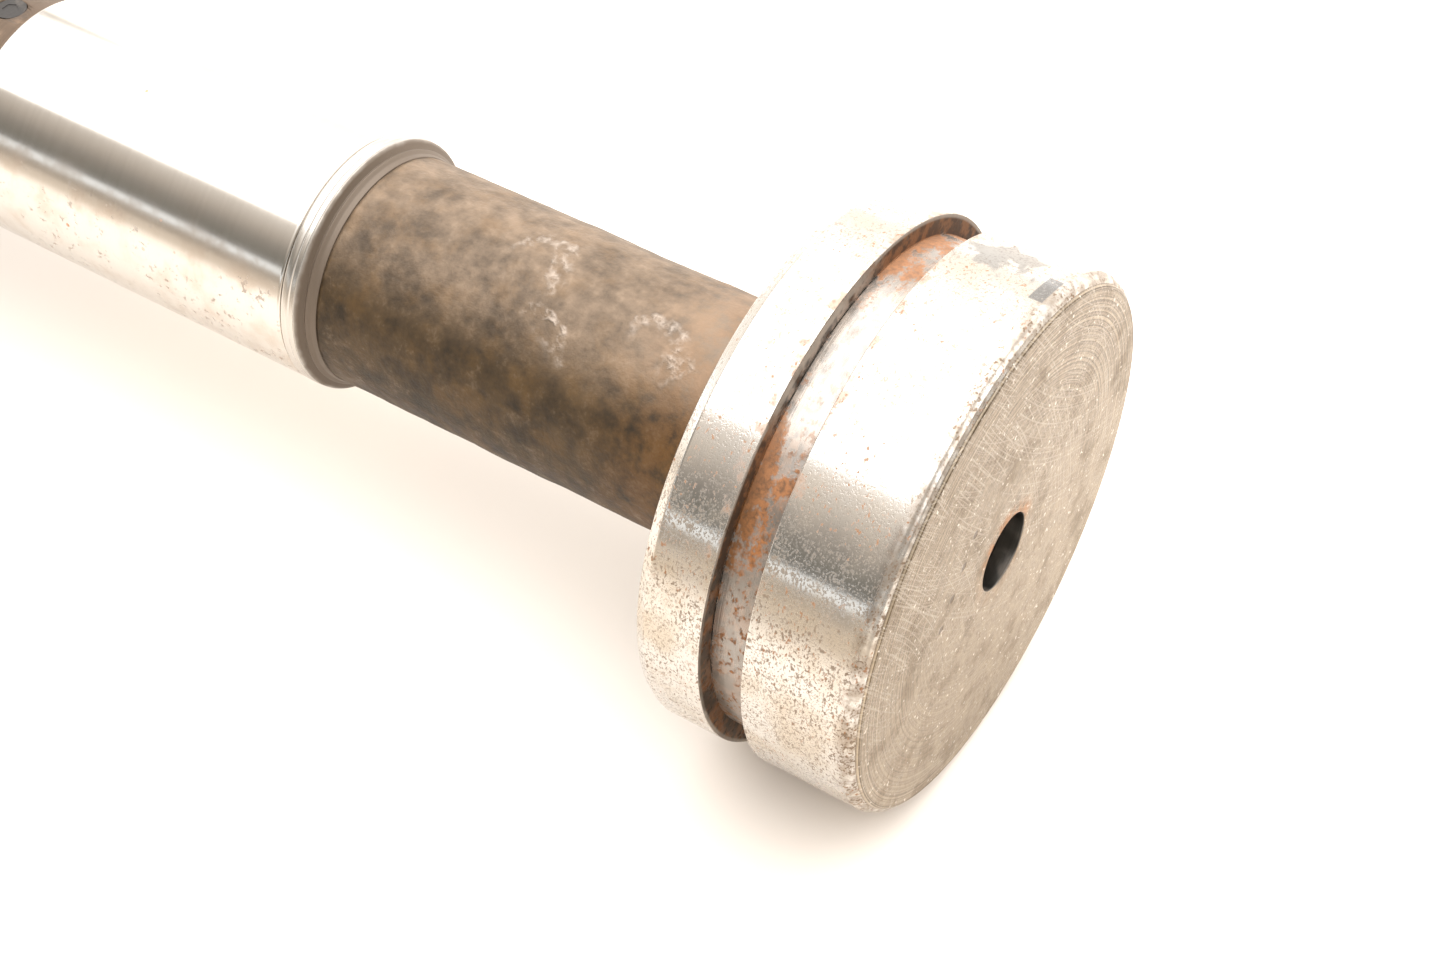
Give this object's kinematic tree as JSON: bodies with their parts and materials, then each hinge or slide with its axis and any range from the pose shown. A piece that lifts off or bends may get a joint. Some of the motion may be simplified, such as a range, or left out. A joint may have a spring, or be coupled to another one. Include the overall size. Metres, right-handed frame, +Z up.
{
  "type": "ring mandrel",
  "caption": "Steel ring mandrel held between lathe centres: a grooved round head, a ground seat on a dark forged bar, and a keyed collar clamped by a hex nut.",
  "frame": {"origin": "on the supporting plane z = 0, under the middle of the mandrel's length, as it lies on its head and on a flat of its clamp collar", "axes": "+X along the mandrel's axis towards the grooved head, +Z up"},
  "size_m": [0.328, 0.084, 0.076],
  "materials": {
    "head_face_steel": "turned and ground steel, champagne grey with fine rust specks",
    "ground_steel": "ground steel, lightly pitted",
    "bright_steel": "fine ground, near mirror",
    "hard_steel": "hardened steel, darker grey",
    "forged_scale": "dark brown forging scale, mottled",
    "black_oxide": "black oxide, satin"
  },
  "bodies": {
    "root": {"core_shaft": "forged_scale", "head_disc": "head_face_steel", "head_collar": "ground_steel", "head_key": "hard_steel", "collar_screw_1": "black_oxide", "collar_screw_2": "black_oxide", "collar_screw_3": "black_oxide", "head_centre_bush": "hard_steel", "tail_centre_bush": "hard_steel", "front_shoulder_ring": "hard_steel", "seat_sleeve": "bright_steel", "rear_lock_ring": "black_oxide", "lock_ring_screw": "black_oxide", "collar_key": "hard_steel"},
    "clamp": {"clamp_collar": "ground_steel", "thrust_washer": "hard_steel"},
    "nut": {"clamp_nut": "black_oxide"}
  },
  "joints": [
    {"name": "clamp_slide", "type": "slide", "parent": "root", "child": "clamp", "axis": [1, 0, 0], "range_m": [-0.008, 0.008]},
    {"name": "nut_turn", "type": "hinge", "parent": "clamp", "child": "nut", "pos_m": [-0.114, 0, 0.038], "axis": [1, 0, 0], "range_deg": [-824, 824]}
  ],
  "couplings": [
    {"joint": "nut_turn", "follows": "clamp_slide", "rad_per_m": 1795.2}
  ]
}
